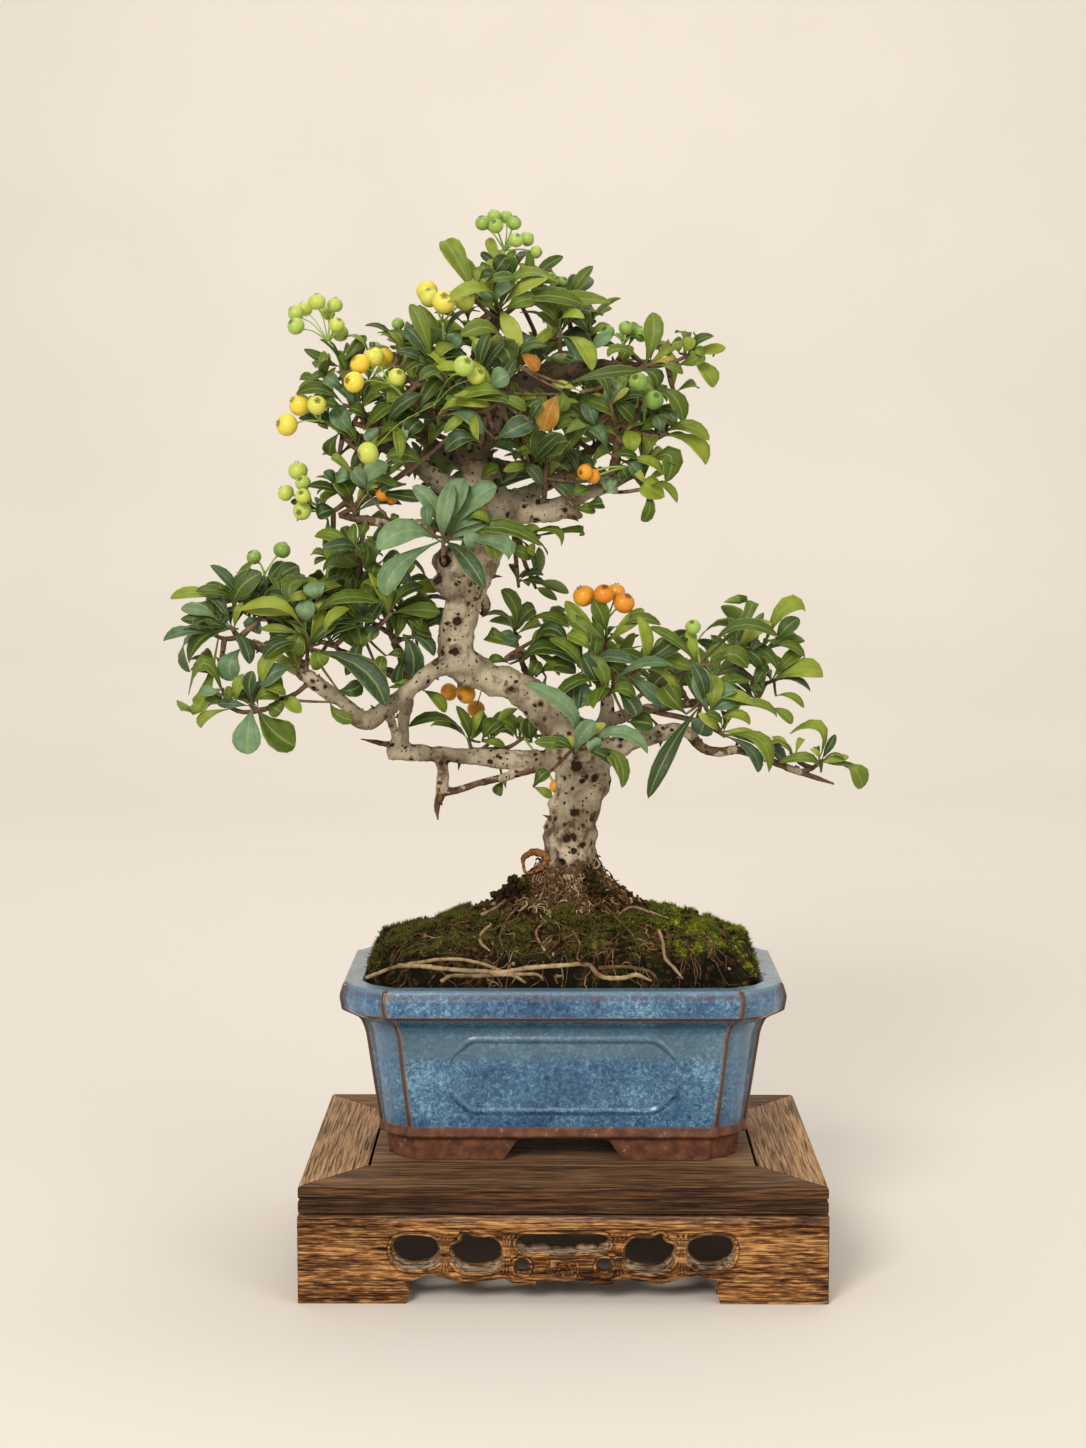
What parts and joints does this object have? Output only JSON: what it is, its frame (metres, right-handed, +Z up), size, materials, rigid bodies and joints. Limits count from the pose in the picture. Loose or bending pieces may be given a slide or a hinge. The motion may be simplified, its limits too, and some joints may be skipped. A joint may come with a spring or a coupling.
{
  "type": "pyracantha bonsai",
  "caption": "Small fruiting tree with a bent trunk, leafy sprays and berries in a blue glazed pot with mossy soil, on a low carved wooden stand.",
  "frame": {"origin": "middle of the whole object's box in plan, on the surface that the stand rests on; the stand is centred 21.4 mm to +X of it because the branches reach farther to the left", "axes": "+Z up the trunk, -Y towards the viewer of the front, +X to the viewer's right"},
  "size_m": [0.3196, 0.1646, 0.4777],
  "materials": {
    "stand_rail": "worn satin, dark brown",
    "stand_apron": "worn satin, orange brown with dark streaks",
    "stand_panel": "weathered, open grain",
    "pot_glaze": "gloss blue glaze with brown edges, bare clay foot",
    "drain_net": "matte black",
    "soil": "matte, damp crumbs",
    "moss_olive": "matte, soft",
    "moss_green": "matte, soft",
    "bark": "dry grey-beige bark with dark pits",
    "leaf": "satin leaf",
    "berry_green": "satin skin",
    "berry_yellow": "satin skin",
    "berry_orange": "satin skin"
  },
  "bodies": {
    "root": {"stand_rail_front": "stand_rail", "stand_apron_front": "stand_apron", "stand_rail_right": "stand_rail", "stand_apron_right": "stand_apron", "stand_rail_back": "stand_rail", "stand_apron_back": "stand_apron", "stand_rail_left": "stand_rail", "stand_apron_left": "stand_apron", "stand_panel": "stand_panel", "pot": "pot_glaze", "drain_mesh_left": "drain_net", "drain_mesh_right": "drain_net", "soil": "soil", "moss_left": "moss_olive", "moss_right": "moss_green", "wood": "bark", "spray_crown_top": "leaf", "spray_crown_top_right": "leaf", "spray_crown_right_high": "leaf", "spray_crown_right_mid": "leaf", "spray_crown_right_low": "leaf", "spray_crown_inner_right": "leaf", "spray_crown_under": "leaf", "spray_crown_face": "leaf", "spray_crown_upper_left": "leaf", "spray_crown_left_high": "leaf", "spray_crown_left_mid": "leaf", "spray_crown_left_low": "leaf", "spray_crown_left_hanging": "leaf", "spray_knot_blue": "leaf", "spray_crown_back_high": "leaf", "spray_crown_back_left": "leaf", "spray_crown_back_right": "leaf", "spray_left_tip": "leaf", "spray_left_mid": "leaf", "spray_left_inner": "leaf", "spray_left_back": "leaf", "spray_left_hanging": "leaf", "spray_right_left": "leaf", "spray_right_centre": "leaf", "spray_right_front": "leaf", "spray_right_mid": "leaf", "spray_right_tip": "leaf", "spray_right_end": "leaf", "spray_right_back": "leaf", "spray_under_arch": "leaf", "berries_apex_green": "berry_green", "berries_left_top": "berry_green", "berries_left_green": "berry_green", "berries_face_green": "berry_green", "berries_right_crown": "berry_green", "berries_right_high": "berry_green", "berries_left_pad": "berry_green", "berries_right_green": "berry_green", "berries_top_yellow": "berry_yellow", "berries_left_yellow": "berry_yellow", "berries_left_orange": "berry_yellow", "berries_orange": "berry_orange", "berries_fork_orange": "berry_orange"}
  },
  "joints": []
}
